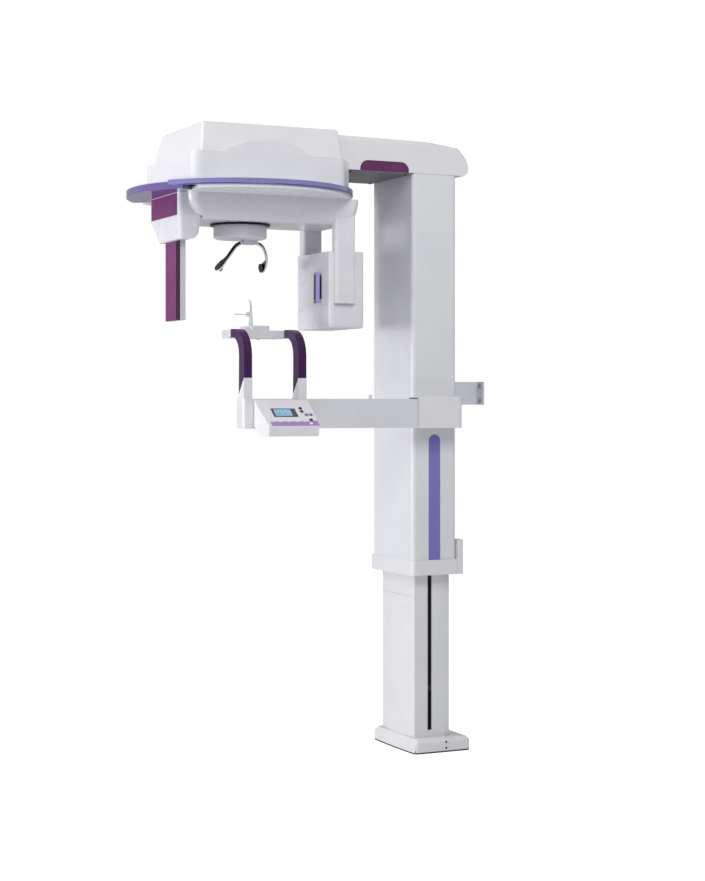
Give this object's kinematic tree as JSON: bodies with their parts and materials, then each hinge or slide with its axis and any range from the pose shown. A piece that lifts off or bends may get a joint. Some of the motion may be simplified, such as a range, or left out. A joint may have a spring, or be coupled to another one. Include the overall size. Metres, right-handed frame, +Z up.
{
  "type": "panoramic x-ray machine",
  "caption": "Wall and floor mounted dental panoramic x-ray machine with a lifting column, overhead rotating arm, head support, chin rest, handles and control panel.",
  "frame": {"origin": "on the floor, at the centre of the base plate's anchor holes", "axes": "+Z up, +Y towards the wall, head hanging out over the patient towards -Y; the patient stands on the -X side"},
  "size_m": [0.78, 1.267, 2.17],
  "materials": {
    "frame_steel": "grey primer paint on steel",
    "white_cover": "satin white moulded cover",
    "black_rubber": "matt black rubber",
    "column_paint": "white powder coat",
    "black_bristle": "black bristle seal",
    "motor_steel": "black painted motor",
    "bracket_paint": "light grey powder coat",
    "zinc_steel": "zinc plated",
    "screw_steel": "ground steel",
    "bronze_nut": "machined bronze",
    "slide_polymer": "natural slide polymer",
    "lavender_trim": "lavender trim",
    "plum_plastic": "plum moulded liner",
    "grey_plate": "grey powder coat",
    "light_underside": "light closing plate",
    "ring_lavender": "glossy lavender ring",
    "support_white": "satin white moulding",
    "black_plastic": "black plastic",
    "arm_paint": "light grey powder coat",
    "handle_plum": "deep plum handle",
    "panel_white": "white panel moulding",
    "lcd_glass": "liquid crystal window",
    "arm_cover": "satin white moulding",
    "hub_aluminium": "machined aluminium",
    "plum_panel": "plum panel",
    "violet_visor": "violet visor",
    "light_grey_plastic": "light grey moulding",
    "collimator_lavender": "lavender moulding",
    "tube_insert": "glass tube insert",
    "temple_white": "translucent white",
    "temple_dark": "dark soft pad",
    "key_dark": "dark key",
    "key_mauve": "mauve key",
    "key_white": "white key"
  },
  "bodies": {
    "root": {"base_plate": "frame_steel", "base_front_cover": "white_cover", "base_rear_cover": "white_cover", "base_seal": "black_rubber", "inner_column": "column_paint", "column_front_covers": "white_cover", "slot_brushes": "black_bristle", "rear_channel": "column_paint", "lift_motor": "motor_steel", "screw_bearings": "frame_steel", "wall_bracket": "bracket_paint", "bracket_washers": "zinc_steel"},
    "lift_screw": {"lift_screw": "screw_steel"},
    "carriage": {"carriage_frame": "frame_steel", "drive_nut": "bronze_nut", "guide_shoes": "slide_polymer", "column_shell": "column_paint", "bottom_collar": "white_cover", "side_stripes": "lavender_trim", "beam_casing": "white_cover", "gusset_cover": "plum_plastic", "underside_plate": "grey_plate", "head_top_cover": "white_cover", "head_skirt": "white_cover", "head_bottom_plate": "light_underside", "arm_motor": "motor_steel", "support_stem": "screw_steel", "head_support": "support_white", "support_disc": "black_plastic", "patient_arm": "arm_paint", "arm_end_cover": "white_cover", "handle_bases": "white_cover", "handle_grips": "handle_plum", "chin_bridge": "support_white", "panel_housing": "panel_white", "lcd_screen": "lcd_glass"},
    "drive_roller": {"drive_roller": "black_rubber"},
    "rotating_arm": {"ring_trim": "ring_lavender", "arm_casing": "arm_cover", "arm_hub": "hub_aluminium", "sensor_housing": "arm_cover", "sensor_panel": "plum_panel", "visor": "violet_visor", "sensor_bar": "light_grey_plastic", "sensor_face": "plum_panel", "tube_housing": "arm_cover", "collimator": "collimator_lavender", "xray_tube": "tube_insert"},
    "temple_left": {"temple_arm_left": "temple_white", "temple_pad_left": "temple_dark"},
    "temple_right": {"temple_arm_right": "temple_white", "temple_pad_right": "temple_dark"},
    "chin_rest": {"chin_cup": "support_white"},
    "bite": {"bite_post": "support_white"},
    "key_up": {"key_up": "key_dark"},
    "key_down": {"key_down": "key_dark"},
    "key_left": {"key_left": "key_mauve"},
    "key_right": {"key_right": "key_mauve"},
    "key_mode": {"key_mode": "key_dark"},
    "key_expose": {"key_expose": "key_white"}
  },
  "joints": [
    {"name": "carriage_lift", "type": "slide", "parent": "root", "child": "carriage", "axis": [0, 0, 1], "range_m": [-0.55, 0.17]},
    {"name": "screw_spin", "type": "hinge", "parent": "root", "child": "lift_screw", "pos_m": [0, -0.033, 0.8], "axis": [0, 0, 1], "range_deg": [-20000, 6200]},
    {"name": "arm_rotation", "type": "hinge", "parent": "carriage", "child": "rotating_arm", "pos_m": [0, -0.705, 1.9], "axis": [0, 0, 1], "range_deg": [-30, 215]},
    {"name": "roller_spin", "type": "hinge", "parent": "carriage", "child": "drive_roller", "pos_m": [0, -0.5427, 2], "axis": [0, 0, 1], "range_deg": [-700, 100]},
    {"name": "temple_left_swing", "type": "hinge", "parent": "carriage", "child": "temple_left", "pos_m": [-0.012, -0.647, 1.794], "axis": [1, 0, 0], "range_deg": [-8, 20]},
    {"name": "temple_right_swing", "type": "hinge", "parent": "carriage", "child": "temple_right", "pos_m": [-0.012, -0.683, 1.794], "axis": [1, 0, 0], "range_deg": [-20, 8]},
    {"name": "chin_height", "type": "slide", "parent": "carriage", "child": "chin_rest", "axis": [0, 0, 1], "range_m": [0, 0.022]},
    {"name": "bite_tilt", "type": "hinge", "parent": "chin_rest", "child": "bite", "pos_m": [0, -0.665, 1.494], "axis": [0, 1, 0], "range_deg": [-5, 15]},
    {"name": "key_up_press", "type": "slide", "parent": "carriage", "child": "key_up", "axis": [-0.6033, 0, -0.7975], "range_m": [0, 0.0015], "stiffness_N_per_m": 600},
    {"name": "key_down_press", "type": "slide", "parent": "carriage", "child": "key_down", "axis": [-0.6033, 0, -0.7975], "range_m": [0, 0.0015], "stiffness_N_per_m": 600},
    {"name": "key_left_press", "type": "slide", "parent": "carriage", "child": "key_left", "axis": [-0.6033, 0, -0.7975], "range_m": [0, 0.0015], "stiffness_N_per_m": 600},
    {"name": "key_right_press", "type": "slide", "parent": "carriage", "child": "key_right", "axis": [-0.6033, 0, -0.7975], "range_m": [0, 0.0015], "stiffness_N_per_m": 600},
    {"name": "key_mode_press", "type": "slide", "parent": "carriage", "child": "key_mode", "axis": [-0.6033, 0, -0.7975], "range_m": [0, 0.0015], "stiffness_N_per_m": 600},
    {"name": "key_expose_press", "type": "slide", "parent": "carriage", "child": "key_expose", "axis": [-0.6033, 0, -0.7975], "range_m": [0, 0.0015], "stiffness_N_per_m": 600}
  ],
  "couplings": [
    {"joint": "screw_spin", "follows": "carriage_lift", "rad_per_m": 628.32},
    {"joint": "roller_spin", "follows": "arm_rotation", "ratio": -2.8571},
    {"joint": "temple_right_swing", "follows": "temple_left_swing", "ratio": -1}
  ]
}
